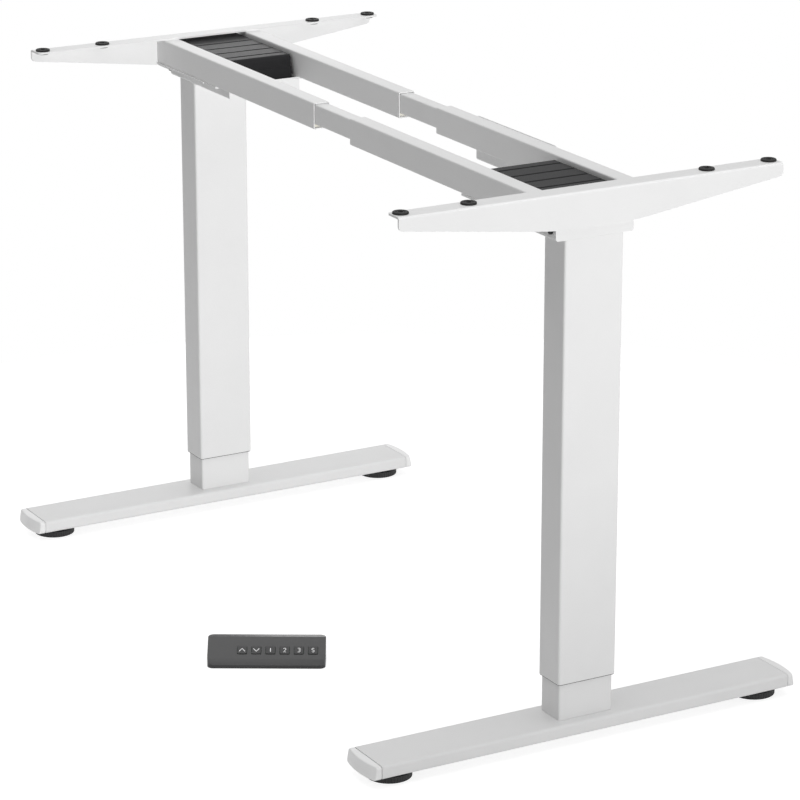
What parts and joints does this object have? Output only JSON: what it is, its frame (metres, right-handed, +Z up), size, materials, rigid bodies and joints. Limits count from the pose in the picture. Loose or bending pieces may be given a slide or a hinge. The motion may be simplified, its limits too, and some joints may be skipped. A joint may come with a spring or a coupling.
{
  "type": "standing desk frame",
  "caption": "Height-adjustable desk frame: telescopic columns on flat feet, pull-out crossbeams, tapered side brackets, motor covers and a push-button handset.",
  "frame": {"origin": "on the floor, under the middle of the frame", "axes": "+X along the crossbeams from the left foot to the right foot, +Y to the back, +Z up"},
  "size_m": [1.032, 0.604, 0.685],
  "materials": {
    "painted_steel": "white powder coat, fine satin texture",
    "cap_plastic": "light grey moulded plastic",
    "glide_plastic": "black moulded plastic",
    "zinc_steel": "zinc plated",
    "black_steel": "blackened",
    "bare_steel": "turned steel",
    "brass": "cut brass",
    "cast_aluminium": "die cast",
    "motor_steel": "black enamel",
    "liner_plastic": "natural low friction plastic",
    "black_plastic": "black moulded plastic",
    "cover_plastic": "charcoal moulded plastic, ribbed",
    "rubber": "black rubber",
    "handset_plastic": "charcoal plastic, satin gloss",
    "button_plastic": "black keys with white signs",
    "board": "green circuit board"
  },
  "bodies": {
    "left_base": {"left_foot": "painted_steel", "left_foot_caps": "cap_plastic", "left_inner_tube": "painted_steel", "left_foot_bolts": "zinc_steel", "left_spindle_nut": "liner_plastic", "left_inner_liner": "liner_plastic", "handset_top": "handset_plastic", "handset_base": "handset_plastic", "handset_board": "board"},
    "left_column": {"left_outer_tube": "painted_steel", "left_outer_liner": "black_plastic", "left_bearing": "bare_steel", "left_gearbox": "cast_aluminium", "left_motor": "motor_steel", "left_head": "painted_steel", "left_motor_cover": "cover_plastic", "left_side_bracket": "painted_steel", "left_grommets": "rubber", "left_head_bolts": "black_steel", "front_left_rail": "painted_steel", "rear_left_rail": "painted_steel", "left_rail_pads": "liner_plastic"},
    "left_drive": {"left_spindle": "bare_steel", "left_worm_wheel": "brass"},
    "bars": {"front_bar": "painted_steel", "rear_bar": "painted_steel"},
    "right_column": {"right_outer_tube": "painted_steel", "right_outer_liner": "black_plastic", "right_bearing": "bare_steel", "right_gearbox": "cast_aluminium", "right_motor": "motor_steel", "right_head": "painted_steel", "right_motor_cover": "cover_plastic", "right_side_bracket": "painted_steel", "right_grommets": "rubber", "right_head_bolts": "black_steel", "front_right_rail": "painted_steel", "rear_right_rail": "painted_steel", "right_rail_pads": "liner_plastic", "control_bracket": "painted_steel", "control_box": "black_plastic", "control_lid": "black_plastic"},
    "right_drive": {"right_spindle": "bare_steel", "right_worm_wheel": "brass"},
    "right_base": {"right_foot": "painted_steel", "right_foot_caps": "cap_plastic", "right_inner_tube": "painted_steel", "right_foot_bolts": "zinc_steel", "right_spindle_nut": "liner_plastic", "right_inner_liner": "liner_plastic"},
    "left_front_foot_screw": {"left_front_glide": "glide_plastic"},
    "left_rear_foot_screw": {"left_rear_glide": "glide_plastic"},
    "right_front_foot_screw": {"right_front_glide": "glide_plastic"},
    "right_rear_foot_screw": {"right_rear_glide": "glide_plastic"},
    "button_up": {"button_up": "button_plastic"},
    "button_down": {"button_down": "button_plastic"},
    "button_one": {"button_one": "button_plastic"},
    "button_two": {"button_two": "button_plastic"},
    "button_three": {"button_three": "button_plastic"},
    "button_save": {"button_save": "button_plastic"}
  },
  "joints": [
    {"name": "left_lift", "type": "slide", "parent": "left_base", "child": "left_column", "axis": [0, 0, 1], "range_m": [0, 0.43]},
    {"name": "left_spindle_turn", "type": "hinge", "parent": "left_column", "child": "left_drive", "pos_m": [-0.481, 0, 0.6], "axis": [0, 0, 1], "range_deg": [-1, 19351]},
    {"name": "left_pull_out", "type": "slide", "parent": "left_column", "child": "bars", "axis": [1, 0, 0], "range_m": [-0.04, 0.2]},
    {"name": "right_pull_out", "type": "slide", "parent": "bars", "child": "right_column", "axis": [1, 0, 0], "range_m": [-0.04, 0.2]},
    {"name": "right_spindle_turn", "type": "hinge", "parent": "right_column", "child": "right_drive", "pos_m": [0.481, 0, 0.6], "axis": [0, 0, 1], "range_deg": [-1, 19351]},
    {"name": "right_lift", "type": "slide", "parent": "right_column", "child": "right_base", "axis": [0, 0, -1], "range_m": [0, 0.43]},
    {"name": "left_front_level", "type": "slide", "parent": "left_base", "child": "left_front_foot_screw", "axis": [0, 0, -1], "range_m": [0, 0.01]},
    {"name": "left_rear_level", "type": "slide", "parent": "left_base", "child": "left_rear_foot_screw", "axis": [0, 0, -1], "range_m": [0, 0.01]},
    {"name": "right_front_level", "type": "slide", "parent": "right_base", "child": "right_front_foot_screw", "axis": [0, 0, -1], "range_m": [0, 0.01]},
    {"name": "right_rear_level", "type": "slide", "parent": "right_base", "child": "right_rear_foot_screw", "axis": [0, 0, -1], "range_m": [0, 0.01]},
    {"name": "button_up_press", "type": "slide", "parent": "left_base", "child": "button_up", "axis": [-0.5196, 0.3, -0.8], "range_m": [0, 0.0015], "stiffness_N_per_m": 400, "springref_m": -0.001},
    {"name": "button_down_press", "type": "slide", "parent": "left_base", "child": "button_down", "axis": [-0.5196, 0.3, -0.8], "range_m": [0, 0.0015], "stiffness_N_per_m": 400, "springref_m": -0.001},
    {"name": "button_one_press", "type": "slide", "parent": "left_base", "child": "button_one", "axis": [-0.5196, 0.3, -0.8], "range_m": [0, 0.0015], "stiffness_N_per_m": 400, "springref_m": -0.001},
    {"name": "button_two_press", "type": "slide", "parent": "left_base", "child": "button_two", "axis": [-0.5196, 0.3, -0.8], "range_m": [0, 0.0015], "stiffness_N_per_m": 400, "springref_m": -0.001},
    {"name": "button_three_press", "type": "slide", "parent": "left_base", "child": "button_three", "axis": [-0.5196, 0.3, -0.8], "range_m": [0, 0.0015], "stiffness_N_per_m": 400, "springref_m": -0.001},
    {"name": "button_save_press", "type": "slide", "parent": "left_base", "child": "button_save", "axis": [-0.5196, 0.3, -0.8], "range_m": [0, 0.0015], "stiffness_N_per_m": 400, "springref_m": -0.001}
  ],
  "couplings": [
    {"joint": "left_spindle_turn", "follows": "left_lift", "rad_per_m": 785.4},
    {"joint": "right_lift", "follows": "left_lift", "ratio": 1},
    {"joint": "right_spindle_turn", "follows": "left_lift", "rad_per_m": 785.4}
  ]
}
